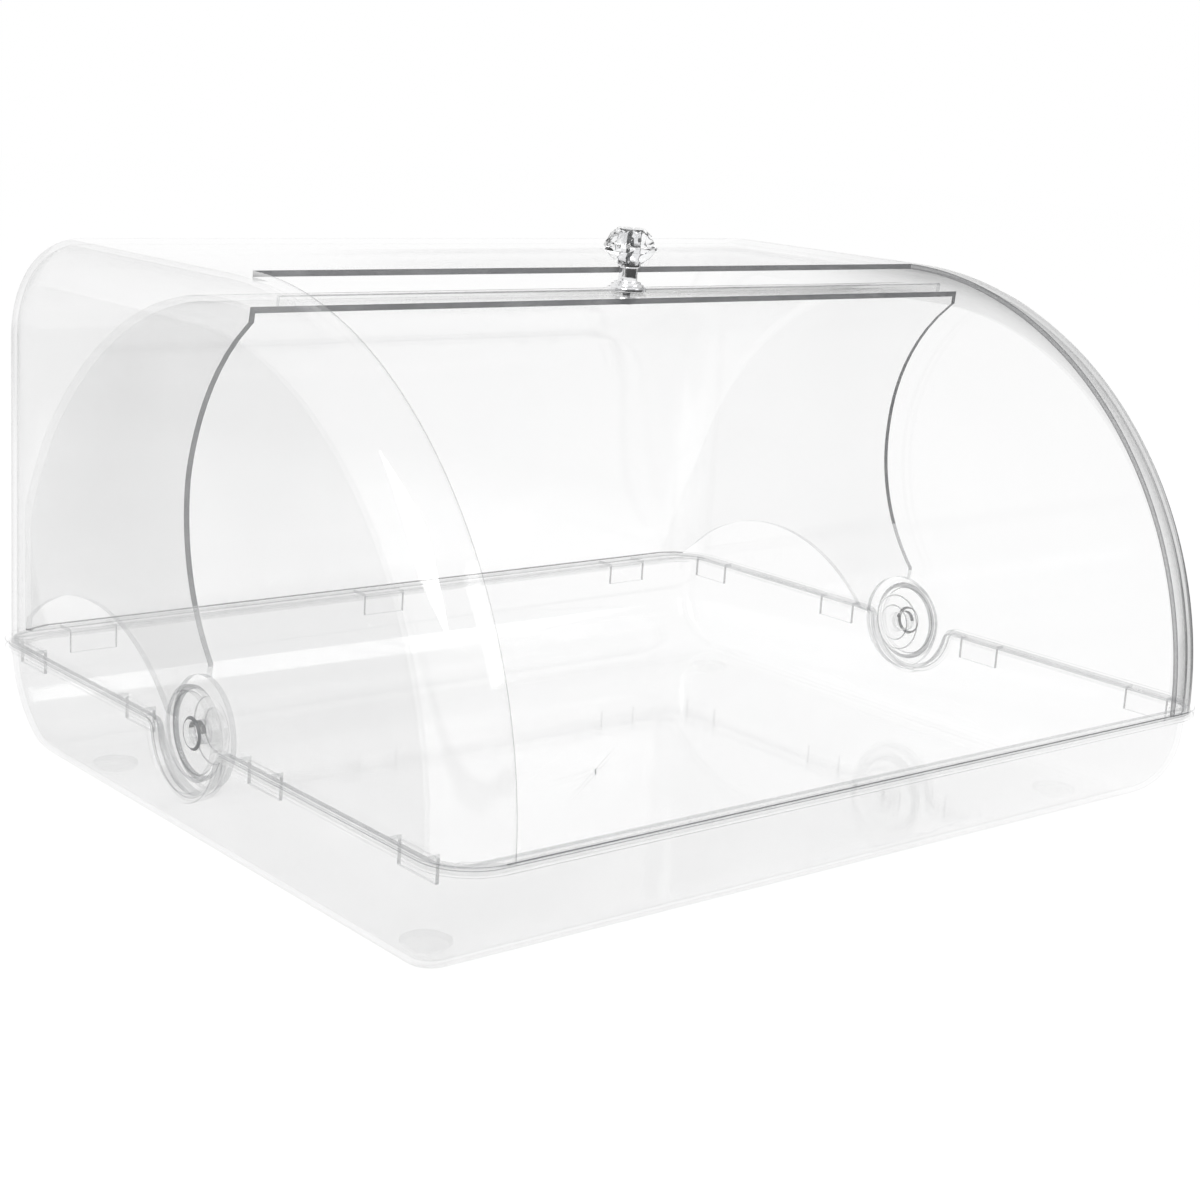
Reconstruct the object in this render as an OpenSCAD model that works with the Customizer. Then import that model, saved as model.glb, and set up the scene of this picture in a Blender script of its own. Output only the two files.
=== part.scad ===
// Countertop bread display bin: a clear tray, a clear hood that stands on the
// tray's rim, and a curved lid that swings back under the hood.
// Millimetres. X is the width, Y the depth with the front at -Y, Z is up.
// The origin is on the table, under the middle of the tray.

/* [Tray] */
// Width over the rim
body_w = 518; // [510:1:600]
// Depth over the rim
body_d = 437; // [435:1:480]
// Height from the tray's underside to the top of the hood's rim
tray_h = 61; // [50:1:90]
// Wall of every clear moulding
wall = 3; // [2:0.25:4]
// Slope of the tray's end walls
tray_draft = 7.5; // [2:0.5:10]
// Radius where the front and back walls meet the floor
tray_scoop_r = 43; // [20:1:45]
// Radius where the end walls meet the floor
tray_end_r = 9; // [6:1:20]

/* [Hood] */
// Radius of the hood's front quarter round
hood_r = 221; // [216:0.5:222]
// Radius of the hood's end and corner edges
hood_edge_r = 24; // [12:1:30]
// Radius of the hood's top back edge
hood_back_r = 56; // [30:1:80]
// Width of the hood's front band at each end of the opening
end_band = 30; // [27:1:54]
// Depth of the lip outside the rim
lip_h = 5; // [4:0.5:6.5]
// Depth of the tabs that hang inside the tray
tab_h = 13.5; // [8:0.5:16]

/* [Lid] */
// Distance of the lid's round face inside the hood's
lid_gap = 12.4; // [12:0.2:20]
// Distance of each ear inside the hood's end, at the pivot
ear_gap = 7.5; // [7:0.5:12]
// How far each end leans in from the pivot to the front edge
lid_taper = 7.5; // [6:0.5:14]
// Radius of the lid's upright back corners
lid_corner_r = 21; // [18:0.5:24]
// Angle of the lid's front edge ahead of upright, open
lid_front = 6.6; // [4:0.1:9]
// Angle of the lid's back edge behind upright, open
lid_back = 89.2; // [80:0.1:90]
// Radius of the curve that narrows each ear
ear_bite_r = 112; // [100:1:118]
// Radius of the ear round its pivot
ear_hub_r = 28; // [24:1:32]
// Angle from the ear's middle to the centre of each curve
ear_spread = 80.3; // [77:0.1:84]

/* [Pivots] */
// Radius of the hood's lobe round each pivot
lobe_r = 30; // [28:0.5:32]
// Radius of the round recess in each lobe
recess_r = 21; // [16:0.5:24]
// Radius of the pivot pin
pin_r = 6; // [4:0.25:7]

/* [Knob] */
// Width of the faceted knob
knob_w = 28.5; // [24:0.5:32]
// Width of the stepped base under the knob
base_w = 20.8; // [16:0.2:24]
// Radius of the knob's neck
neck_r = 4.8; // [4:0.1:6]

/* [Feet] */
// Width of a round foot
foot_w = 24; // [16:1:30]
// Height of a foot under the tray
foot_h = 2.5; // [1.5:0.5:4]

/* [Hidden] */
$fn = 96;

eps = 0.01;
clear_colour = [0.86, 0.90, 0.93, 0.35];
rim_z = foot_h + tray_h;
rim_r = 28;
rim_t = 2;
fit = 0.4;

// Hood: overhang of the rim outside its walls, and its outline
rim_side = 4.5;
rim_back = 2;
hood_w = body_w - 2 * rim_side;
open_w = hood_w - 2 * end_band;
hood_back = body_d / 2 - rim_back;
pivot_y = 4.6;
pivot_z = rim_z - 1.5;
bar_in = 2.2;
lip_t = 1.8;

// Tray: inset of its walls inside the rim
tray_side = 4.5;
tray_front = 9.8;
tray_corner_top = 12;
tray_corner_low = 10;
flange_t = 2.2;
flange_top = rim_z - rim_t - fit;
pad_l = 30;
pad_w = 4;
pad_in = 0.6;

// U-shaped dip of the rim round each pivot
dip_shoulder = 8;
dip_bead = 4;
bead_over = 0.7;

// Tabs of the hood inside the tray: middles along the ends and the back
tab_l = 28;
tab_t = 1.8;
tab_in = 2.3;
end_tabs = [for (share = [0.419, 0.144, -0.130, -0.412]) share * body_d];
back_tabs = [for (share = [-0.392, -0.014, 0.365]) share * body_w];
tab_x = body_w / 2 - tray_side - wall - tab_in;
tab_y = body_d / 2 - tray_front - wall - tab_in;

// Lid: its outline follows the hood's, and each end bulges a little midway
lid_r = hood_r - lid_gap;
ear_w = hood_w - 2 * ear_gap;
lid_w = ear_w - 2 * lid_taper;
lid_lip_h = 4.8;
lid_lip_t = 2.6;
lid_lip_end = 15;
ear_mid = (lid_back - lid_front) / 2;
bulge_at = 0.58;
bulge = 2.2;
hub_r = 17;
hub_h = 3;
run_fit = 0.05;
recess_gap = 0.5;
recess_floor = ear_w / 2 + recess_gap;

// Pin and cap
pin_head_r = 11;
pin_head_t = 2;
pin_play = 0.4;
pin_x = ear_w / 2 - wall - hub_h - pin_play;
cap_r = 8.5;
cap_t = 2.4;
cap_bevel = 0.8;

// Knob, heights measured out from the lid's skin: the gasket beds on the
// curved skin, and the base's underside sits on it
gasket_t = 0.7;
seat = gasket_t + 0.03;
base_steps = [[base_w / 2, 1.9], [base_w / 2 - 2.2, 3.6], [base_w / 2 - 4.2, 5.3]];
neck_h = 9.4;
head_h = 18.5;
gasket_in = 1.5;
crystal_foot_r = neck_r + 1.6;
crystal_top_r = 0.3 * knob_w;
screw_r = 2;
screw_fit = 0.2;
screw_in = 7;
screw_head_t = 2.2;
screw_head_r = 3.8;
washer_r = 6;
washer_t = 1;
washer_gap = 0.2;
knob_sides = 10;
belt = [0.36, 0.60];
knob_lean = asin((neck_r + 0.6) / lid_r);

// Feet, under the tray's corners
foot_in_x = 41;
foot_in_y = 72;
foot_x = body_w / 2 - foot_in_x;
foot_y = body_d / 2 - foot_in_y;
foot_bevel = 0.8;

function front_in(z, t) = tray_front + t + round_in(z - t, tray_scoop_r - t);
function end_in(z, t) = tray_side + t + (tray_h - z) * tan(tray_draft) + round_in(z - t, tray_end_r - t);
function corner_r(z) = tray_corner_low + (tray_corner_top - tray_corner_low) * z / tray_h;
function round_in(z, r) = z < r ? r - sqrt(max(0, r * r - (r - z) * (r - z))) : 0;

// Flat rounded rectangle, corners made from whole circles
module round_rect(w, d, r) {
    square([w - 2 * r, d], center = true);
    square([w, d - 2 * r], center = true);
    for (x = [-1, 1], y = [-1, 1])
        translate([x * (w / 2 - r), y * (d / 2 - r)]) circle(r);
}

// A drawing in (y, z), carried along X from x0 to x1
module along_x(x0, x1) {
    translate([x0, 0, 0]) rotate([90, 0, 90]) linear_extrude(x1 - x0) children();
}

// Both ends: the child and its mirror image
module both_ends() {
    children();
    mirror([1, 0, 0]) children();
}

// Outline of the dip in (y, z): a round of radius r about the pivot that
// opens to the rim at height top through two shoulders of radius s
module dip(r, top, s) {
    drop = pivot_z - (top - s);
    b = sqrt((r + s) * (r + s) - drop * drop);
    translate([pivot_y, pivot_z]) circle(r);
    difference() {
        translate([pivot_y - b, top - s]) square([2 * b, s + eps]);
        for (side = [-1, 1]) translate([pivot_y + side * b, top - s]) circle(s);
    }
}
function dip_half(r, top, s) = sqrt((r + s) * (r + s) - (pivot_z - top + s) * (pivot_z - top + s));

// ---------------------------------------------------------------- tray
// Convex body of the tray, t inside its outer face
module tray_body(t) {
    slices = 12;
    levels = [for (i = [0 : slices]) t + (tray_scoop_r - t) * (1 - cos(90 * i / slices))];
    hull() {
        for (z = concat(levels, [tray_end_r, tray_h - rim_t]))
            translate([0, 0, foot_h + z]) linear_extrude(eps)
                round_rect(body_w - 2 * end_in(z, t), body_d - 2 * front_in(z, t),
                           corner_r(z) - t, $fn = 32);
    }
}

module tray_flange() {
    inset = lip_t + fit;
    translate([0, 0, flange_top - flange_t]) linear_extrude(flange_t) difference() {
        round_rect(body_w - 2 * inset, body_d - 2 * inset, rim_r - inset);
        round_rect(body_w - 2 * (tray_side + wall + 1), body_d - 2 * (tray_front + wall + 1),
                   tray_corner_top - wall);
    }
}

// Raised pads on the flange that carry the hood
module tray_pads() {
    inset = lip_t + fit + pad_in;
    both_ends() for (y = [-body_d / 2 + rim_r + pad_l / 2, body_d / 2 - rim_r - pad_l / 2])
        translate([body_w / 2 - inset - pad_w, y - pad_l / 2, flange_top - eps])
            cube([pad_w, pad_l, fit + eps]);
    both_ends() for (side = [-1, 1])
        translate([body_w / 2 - rim_r - pad_l, side * (body_d / 2 - inset - pad_w / 2) - pad_w / 2,
                   flange_top - eps])
            cube([pad_l, pad_w, fit + eps]);
}

module tray() {
    cut_r = lobe_r + fit;
    cut_s = dip_shoulder - rim_t - fit;
    half = dip_half(cut_r, flange_top, cut_s);
    color(clear_colour) difference() {
        union() {
            difference() {
                tray_body(0);
                tray_body(wall);
                translate([0, 0, flange_top]) linear_extrude(tray_h) square([body_w, body_d], center = true);
            }
            tray_flange();
            tray_pads();
            both_ends() along_x(recess_floor, hood_w / 2 + bead_over) difference() {
                dip(cut_r + dip_bead, flange_top - flange_t / 2, max(1, cut_s - flange_t));
                translate([pivot_y - body_d / 2, flange_top]) square([body_d, body_d]);
            }
        }
        along_x(-body_w, body_w) dip(cut_r, flange_top, cut_s);
        along_x(-body_w, body_w) translate([pivot_y - half, flange_top])
            square([2 * half, lobe_r]);
    }
}

// ---------------------------------------------------------------- feet
module foot(x, y) {
    color([0.80, 0.84, 0.86, 0.6]) translate([x, y, 0]) {
        cylinder(h = foot_h - foot_bevel, r1 = foot_w / 2 - 2 * foot_bevel, r2 = foot_w / 2);
        translate([0, 0, foot_h - foot_bevel]) cylinder(h = foot_bevel, r = foot_w / 2);
    }
}
module foot_front_left() foot(-foot_x, -foot_y);
module foot_front_right() foot(foot_x, -foot_y);
module foot_back_left() foot(-foot_x, foot_y);
module foot_back_right() foot(foot_x, foot_y);

// ---------------------------------------------------------------- hood
// Section through an edge: r out from the axis, w to each side, edge radius f
module edge_section(r, w, f) {
    translate([0, -w]) square([r - f, 2 * w]);
    translate([0, f - w]) square([r, 2 * (w - f)]);
    for (side = [-1, 1]) translate([r - f, side * (w - f)]) circle(f);
}

// That section turned about the X axis, from angle a0 behind the downward line
module turned(r, w, f, a0, a) {
    rotate([0, 90, 0]) rotate([0, 0, a0]) rotate_extrude(angle = a) intersection() {
        edge_section(r, w, f);
        translate([0, -w - 1]) square([r + 1, 2 * w + 2]);
    }
}

// Solid outline of the hood, t inside its outer face
module hood_body(t) {
    r = hood_r - t;
    w = hood_w / 2 - t;
    f = hood_edge_r - t;
    rb = hood_back_r - t;
    back = hood_back - t;
    top = pivot_z + r;
    translate([0, pivot_y, pivot_z]) turned(r, w, f, 180, 90);
    translate([0, back - rb, top - rb]) turned(rb, w, f, 90, 90);
    translate([0, back - rb, 0]) rotate([90, 0, 0]) linear_extrude(back - rb - pivot_y) {
        translate([-w, pivot_z]) square([2 * w, r - f]);
        translate([f - w, pivot_z]) square([2 * (w - f), r]);
        for (side = [-1, 1]) translate([side * (w - f), top - f]) circle(f);
    }
    translate([0, 0, pivot_z]) linear_extrude(r - rb) {
        translate([-w, pivot_y]) square([2 * w, back - f - pivot_y]);
        translate([f - w, pivot_y]) square([2 * (w - f), back - pivot_y]);
        for (side = [-1, 1]) translate([side * (w - f), back - f]) circle(f);
    }
    hood_foot(t, rim_z - rim_t, pivot_z);
}

// Plan of the hood at its foot, t inside its outer face, from z0 to z1
module hood_foot(t, z0, z1) {
    front = pivot_y - hood_r + t;
    back = hood_back - t;
    translate([0, (front + back) / 2, z0]) linear_extrude(z1 - z0)
        round_rect(hood_w - 2 * t, back - front, hood_edge_r - t);
}

module hood_rim() {
    difference() {
        translate([0, 0, rim_z - rim_t]) linear_extrude(rim_t) round_rect(body_w, body_d, rim_r);
        hood_foot(wall / 2, rim_z - 2 * rim_t, rim_z + 1);
        translate([-open_w / 2, -body_d, rim_z - 2 * rim_t]) cube([open_w, body_d, 2 * tab_h]);
    }
}

// The lip hangs outside the tray's flange
module hood_lip() {
    translate([0, 0, rim_z - lip_h]) linear_extrude(lip_h - eps) difference() {
        round_rect(body_w, body_d, rim_r);
        round_rect(body_w - 2 * lip_t, body_d - 2 * lip_t, rim_r - lip_t);
    }
}

// Tabs hang from short ledges inside the rim, just clear of the tray's walls
module hood_tabs() {
    both_ends() for (y = end_tabs) translate([0, y - tab_l / 2, 0]) {
        translate([tab_x - tab_t, 0, rim_z - rim_t]) cube([hood_w / 2 - 1 - tab_x + tab_t, tab_l, rim_t]);
        translate([tab_x - tab_t, 0, rim_z - tab_h]) cube([tab_t, tab_l, tab_h - eps]);
    }
    for (x = back_tabs) translate([x - tab_l / 2, 0, 0]) {
        translate([0, tab_y - tab_t, rim_z - rim_t]) cube([tab_l, hood_back - 1 - tab_y + tab_t, rim_t]);
        translate([0, tab_y - tab_t, rim_z - tab_h]) cube([tab_l, tab_t, tab_h - eps]);
    }
}

// Band of the rim that follows a dip, depth deep under its top edge
module dip_band(depth) {
    dip_r = lobe_r - rim_t;
    half = dip_half(dip_r, rim_z, dip_shoulder);
    difference() {
        union() {
            dip(dip_r + depth, rim_z - depth, dip_shoulder - depth);
            translate([pivot_y - half, rim_z - depth]) square([2 * half, depth]);
        }
        dip(dip_r, rim_z, dip_shoulder);
        translate([pivot_y - half, rim_z]) square([2 * half, 2 * lobe_r]);
    }
}

module hood() {
    half = dip_half(lobe_r - rim_t, rim_z, dip_shoulder);
    color(clear_colour) difference() {
        union() {
            difference() {
                hood_body(0);
                hood_body(wall);
                hood_foot(wall, rim_z - 2 * rim_t, pivot_z);
                translate([-open_w / 2, -body_d, rim_z - 2 * rim_t])
                    cube([open_w, body_d + pivot_y, 2 * hood_r]);
            }
            difference() {
                union() {
                    hood_rim();
                    hood_lip();
                }
                along_x(-body_w, body_w) translate([pivot_y - half, rim_z - 2 * tab_h])
                    square([2 * half, 3 * tab_h]);
            }
            hood_tabs();
            // bar along the open front
            translate([-open_w / 2 - 1, -body_d / 2, rim_z - lip_h]) cube([open_w + 2, bar_in, lip_h]);
            // lobes of the end walls round the pivots, with the rim dipping round them
            both_ends() {
                along_x(hood_w / 2 - wall, hood_w / 2) dip(lobe_r, rim_z - rim_t, dip_shoulder - rim_t);
                along_x(hood_w / 2 - wall, hood_w / 2)
                    translate([pivot_y - half, rim_z - rim_t]) square([2 * half, rim_t + 1]);
                on_pivot(recess_floor) cylinder(h = hood_w / 2 - eps - recess_floor, r = recess_r + wall);
                along_x(hood_w / 2 - wall, body_w / 2) dip_band(rim_t);
                along_x(body_w / 2 - lip_t, body_w / 2) dip_band(lip_h);
            }
        }
        translate([-body_w, pivot_y, pivot_z]) rotate([0, 90, 0]) cylinder(h = 2 * body_w, r = pin_r);
        both_ends() on_pivot(recess_floor + wall) cylinder(h = recess_r, r = recess_r);
    }
}

// Places a shape on the right-hand pivot, with its Z along the pivot's axis
module on_pivot(x) {
    translate([x, pivot_y, pivot_z]) rotate([0, 90, 0]) children();
}

// ---------------------------------------------------------------- pivots
// Pin through the ear and the end wall, its head inside the ear's hub
module pin() {
    tip = recess_floor + wall + cap_t - cap_bevel;

    color([0.85, 0.88, 0.90, 0.6]) {
        on_pivot(pin_x - pin_head_t) cylinder(h = pin_head_t, r = pin_head_r);
        on_pivot(pin_x - eps) cylinder(h = tip - pin_x + eps, r = pin_r);
    }
}
module pivot_pin_right() pin();
module pivot_pin_left() mirror([1, 0, 0]) pin();

// Cap pressed on the pin's end, in the recess outside the end wall
module cap() {
    color([0.85, 0.88, 0.90, 0.6]) on_pivot(recess_floor + wall) difference() {
        union() {
            cylinder(h = cap_t - cap_bevel, r = cap_r);
            translate([0, 0, cap_t - cap_bevel])
                cylinder(h = cap_bevel, r1 = cap_r, r2 = cap_r - cap_bevel);
        }
        translate([0, 0, -eps]) cylinder(h = cap_t - cap_bevel + eps, r = pin_r);
    }
}
module pivot_cap_right() cap();
module pivot_cap_left() mirror([1, 0, 0]) cap();

// ---------------------------------------------------------------- lid
// Fan in (y, z) about the pivot: the ear narrows in two curves that flow into
// the round of its hub
module ear_fan() {
    reach = ear_bite_r + ear_hub_r;
    far = 2 * lid_r;
    side = [far * sin(ear_spread), far * cos(ear_spread)];
    rotate(-ear_mid) difference() {
        polygon([[0, 0], [-side[0], side[1]], [-side[0], far], [side[0], far], side]);
        for (side = [-1, 1])
            translate([side * reach * sin(ear_spread), reach * cos(ear_spread)]) circle(ear_bite_r);
    }
    circle(ear_hub_r);
}

// Solid of the lid, t inside its outer face: round about the pivot, with ends
// that lean in towards the front edge and round corners at the back
module lid_solid(t) {
    h = ear_w / 2 - t;
    w = lid_w / 2 - t;
    intersection() {
        rotate([0, 90, 0]) translate([0, 0, -body_w / 2]) cylinder(h = body_w, r = lid_r - t);
        translate([0, body_d, 0]) rotate([90, 0, 0]) linear_extrude(2 * body_d)
            polygon([[-h, -lid_r], [h, -lid_r], [h, 0], [h - bulge, bulge_at * lid_r], [w, lid_r],
                     [-w, lid_r], [bulge - h, bulge_at * lid_r], [-h, 0]]);
        translate([0, 0, -lid_r]) linear_extrude(2 * lid_r)
            round_rect(2 * h, 2 * (lid_r - t), lid_corner_r - t);
    }
}

// Sector in (y, z) that the lid covers when it is open
module lid_sector() {
    far = 2 * lid_r;
    polygon([[0, 0], [-far * tan(lid_front), far], [far, far], [far, far * cos(lid_back)]]);
}

module lid() {
    w = lid_w / 2;
    h = ear_w / 2;
    color(clear_colour) translate([0, pivot_y, pivot_z]) difference() {
        union() {
            intersection() {
                difference() {
                    lid_solid(0);
                    lid_solid(wall);
                }
                along_x(-body_w, body_w) intersection() {
                    union() {
                        ear_fan();
                        difference() {
                            circle(lid_r + 1);
                            circle(lid_r - wall);
                        }
                    }
                    union() {
                        lid_sector();
                        circle(2 * ear_hub_r);
                    }
                }
            }
            both_ends() {
                translate([h - wall - hub_h, 0, 0]) rotate([0, 90, 0]) cylinder(h = hub_h + eps, r = hub_r);
            }
            // upstanding lip along the front edge
            rotate([lid_front, 0, 0]) translate([lid_lip_end - w, 0, lid_r - 1])
                cube([2 * (w - lid_lip_end), lid_lip_t, lid_lip_h + 1]);
        }
        translate([-body_w, 0, 0]) rotate([0, 90, 0]) cylinder(h = 2 * body_w, r = pin_r + run_fit);
        on_lid() translate([0, 0, -2 * wall]) cylinder(h = 3 * wall, r = screw_r + screw_fit);
    }
}

// ---------------------------------------------------------------- knob
// Place on the lid's outer skin, where the knob stands
module on_lid() {
    rotate([knob_lean, 0, 0]) translate([0, 0, lid_r]) children();
}
module knob_place() {
    translate([0, pivot_y, pivot_z]) on_lid() children();
}

// Clearance hole for the screw, through a shape h high
module screw_hole(h) {
    translate([0, 0, -h]) cylinder(h = 2 * h, r = screw_r + screw_fit);
}

module knob_gasket() color([0.9, 0.9, 0.9]) knob_place() difference() {
    translate([0, 0, seat - gasket_t]) cylinder(h = gasket_t, r = base_w / 2 - gasket_in);
    screw_hole(wall);
}

module knob_base() color("silver") knob_place() difference() {
    for (s = base_steps) translate([0, 0, seat]) cylinder(h = s[1] - seat, r = s[0]);
    screw_hole(head_h);
}

module knob_neck() color("silver") knob_place() translate([0, 0, base_steps[2][1]]) difference() {
    cylinder(h = neck_h, r = neck_r);
    translate([0, 0, -1]) cylinder(h = neck_h + 2, r = screw_r);
}

// Two faceted cones and the belt between them, bored blind for the screw
module knob_crystal() color([0.9, 0.93, 0.95, 0.5]) knob_place()
    translate([0, 0, base_steps[2][1] + neck_h]) difference() {
        union() {
            cylinder(h = head_h * belt[0], r1 = crystal_foot_r, r2 = knob_w / 2, $fn = knob_sides);
            translate([0, 0, head_h * belt[0]])
                cylinder(h = head_h * (belt[1] - belt[0]), r = knob_w / 2, $fn = knob_sides);
            translate([0, 0, head_h * belt[1]])
                cylinder(h = head_h * (1 - belt[1]), r1 = knob_w / 2, r2 = crystal_top_r, $fn = knob_sides);
        }
        translate([0, 0, -1]) cylinder(h = screw_in + 2, r = screw_r);
    }

module knob_washer() color("silver") knob_place() difference() {
    translate([0, 0, -wall - washer_gap - washer_t]) cylinder(h = washer_t, r = washer_r);
    screw_hole(2 * wall);
}

module knob_screw() color("silver") knob_place() translate([0, 0, -wall - washer_gap - washer_t]) {
    translate([0, 0, -screw_head_t]) cylinder(h = screw_head_t, r1 = screw_head_r - 0.6, r2 = screw_head_r);
    translate([0, 0, -eps])
        cylinder(h = wall + washer_gap + washer_t + base_steps[2][1] + neck_h + screw_in, r = screw_r);
}

// ---------------------------------------------------------------- output
tray();
foot_front_left();
foot_front_right();
foot_back_left();
foot_back_right();
hood();
pivot_pin_left();
pivot_pin_right();
pivot_cap_left();
pivot_cap_right();
lid();
knob_crystal();
knob_neck();
knob_base();
knob_gasket();
knob_washer();
knob_screw();
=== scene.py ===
# %% [markdown]
# # A clear countertop bread bin
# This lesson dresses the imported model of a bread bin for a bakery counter: a
# scooped tray, a hood that stands on its rim, and a curved lid with a crystal
# knob that swings back under the hood. Clear plastic is all edges and faint
# greys, so each moulding is remade here as a smooth numpy surface whose walls,
# cut edges and small chamfers can each have a finish of their own.

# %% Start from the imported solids
import bmesh
import bpy
import math
import numpy as np
from mathutils import Matrix, Vector


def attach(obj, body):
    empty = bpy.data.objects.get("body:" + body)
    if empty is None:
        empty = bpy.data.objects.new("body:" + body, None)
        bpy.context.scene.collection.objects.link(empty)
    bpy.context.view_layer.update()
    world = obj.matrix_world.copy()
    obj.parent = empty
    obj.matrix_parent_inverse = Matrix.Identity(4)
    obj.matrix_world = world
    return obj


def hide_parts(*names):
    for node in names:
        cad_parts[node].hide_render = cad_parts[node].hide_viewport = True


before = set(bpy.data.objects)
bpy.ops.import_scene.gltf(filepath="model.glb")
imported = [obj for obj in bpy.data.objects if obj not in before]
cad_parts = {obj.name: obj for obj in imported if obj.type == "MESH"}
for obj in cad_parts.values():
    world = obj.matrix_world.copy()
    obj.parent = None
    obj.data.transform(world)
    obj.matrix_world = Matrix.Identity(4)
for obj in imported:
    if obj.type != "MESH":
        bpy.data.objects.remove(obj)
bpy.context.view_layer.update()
scene = bpy.context.scene

# %% [markdown]
# ## The sizes that the mouldings share
# All lengths are millimetres until a mesh is made. The lid turns about one
# line along X, so most shapes are measured from that pivot.

# %% Sizes
# The line that the lid turns about; the walls; the hood's rim and its outer lip.
PIVOT_Y, PIVOT_Z = 4.6, 62.0
WALL, RIM_Z, RIM_T, LIP_H, LIP_T = 3.0, 63.5, 2.0, 5.0, 1.8
# The rim's outline; the tray; round and shoulder of the U that each rim has under a pivot.
BODY_W, BODY_D, BODY_R = 518.0, 437.0, 28.0
FLANGE_Z, FLANGE_T, TRAY_H, FOOT_H = 61.1, 2.2, 61.0, 2.5
HOOD_DIP, HOOD_SHOULDER, TRAY_DIP, TRAY_SHOULDER = 30.0, 8.0, 30.4, 5.6
# The hood's front radius, ends, back, rounds and opening; the lid, whose edges are in degrees
# behind upright, and the holes in its hubs.
HOOD_R, HOOD_X, HOOD_BACK, EDGE_R, BACK_R, OPEN_X = 221.0, 254.5, 216.5, 24.0, 56.0, 224.5
LID_R, LID_FRONT, LID_BACK, HUB_R, HUB_HOLE = 208.6, -6.6, 89.2, 28.0, 6.05
# Kinds of face; each is also the number of its finish in a piece's list.
CLEAR, EDGE, SOFT, FACE_EDGE, UPRIGHT, ROUND_LEFT, ROUND_RIGHT, ARC_LEFT, ARC_RIGHT = range(9)
print("hood radius", HOOD_R, "lid radius", LID_R)

# %% [markdown]
# ## Writing shader maths as Python
# A shader is easier to read as an expression than as a list of links. `Sock`
# wraps one socket and turns `+`, `-`, `*` and `**` into Math nodes; `Finish`
# holds the material being made and can place any other node.


# %% A socket as a number
class Sock:
    """One output socket that can be used in sums and products."""

    def __init__(self, finish, socket):
        self.finish, self.socket = finish, socket

    def math(self, op, *others):
        """A Math node of this operation on this socket and the others."""
        node = self.finish.tree.nodes.new("ShaderNodeMath")
        node.operation = op
        for slot, value in zip(node.inputs, (self, *others)):
            self.finish.feed(slot, value)
        return Sock(self.finish, node.outputs[0])

    def __add__(self, other):
        return self.math("ADD", other)

    def __rsub__(self, other):
        return self.math("MULTIPLY_ADD", -1.0, other)

    def __mul__(self, other):
        return self.math("MULTIPLY", other)

    __radd__, __rmul__ = __add__, __mul__

    def __pow__(self, other):
        return self.math("POWER", other)


print("a Sock adds, multiplies, takes powers and can be taken from a number")


# %% A material under construction
class Finish:
    """A material or a world under construction."""

    def __init__(self, name, data=None):
        self.data = data or bpy.data.materials.new(name)
        self.data.use_nodes = True
        self.tree = self.data.node_tree
        self.tree.nodes.clear()

    def feed(self, slot, value):
        """Links a Sock to an input, or sets the input to a number, colour or vector."""
        if isinstance(value, Sock):
            self.tree.links.new(value.socket, slot)
        else:
            slot.default_value = value

    def node(self, kind, inputs, out=0, **settings):
        """Any node: its type, the values or links of its inputs, the output wanted, and its
        settings, which are set first."""
        node = self.tree.nodes.new(kind)
        for key, value in settings.items():
            setattr(node, key, value)
        for key, value in inputs.items():
            self.feed(node.inputs[key], value)
        return Sock(self, node.outputs[out])

    def plain(self, colour, roughness, ior):
        """The ordinary surface shader in one colour."""
        inputs = {"Base Color": (*colour, 1), "Roughness": roughness, "IOR": ior}
        return self.node("ShaderNodeBsdfPrincipled", inputs)

    def mix(self, share, first, second):
        """1 - share of the first shader and share of the second."""
        return self.node("ShaderNodeMixShader", {0: share, 1: first, 2: second})

    def done(self, shader, end="ShaderNodeOutputMaterial"):
        """Ends the tree and returns the material or world."""
        self.tree.links.new(shader.socket, self.tree.nodes.new(end).inputs["Surface"])
        return self.data


# Which output of Layer Weight, Texture Coordinate, Vector Math and Light Path is meant.
FACING, OBJECT_XYZ, NUMBER = 1, 3, 1
IS_CAMERA, IS_GLOSSY, IS_TRANSMISSION = 0, 3, 6
WHITE = (1, 1, 1, 1)
print("shader helpers ready")

# %% [markdown]
# ## Clear plastic
# A clear wall shows almost everything behind it. It takes a per cent or two
# of the light, and far more where the wall turns away from the eye, which is
# what draws a dark outline round a clear box. Tracing real refraction through
# a dozen walls is slow and noisy, so each face is a veil: nearly transparent,
# thickening at a slant, under a thin mirror that catches the lamps.


# %% Finish of the clear walls
CLEAR_GREY = (0.16, 0.163, 0.166)
MOST_GREY, FADE_Y, MIRROR, SLANT_MIRROR = 0.9, 0.12, 0.03, 0.9


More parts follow.
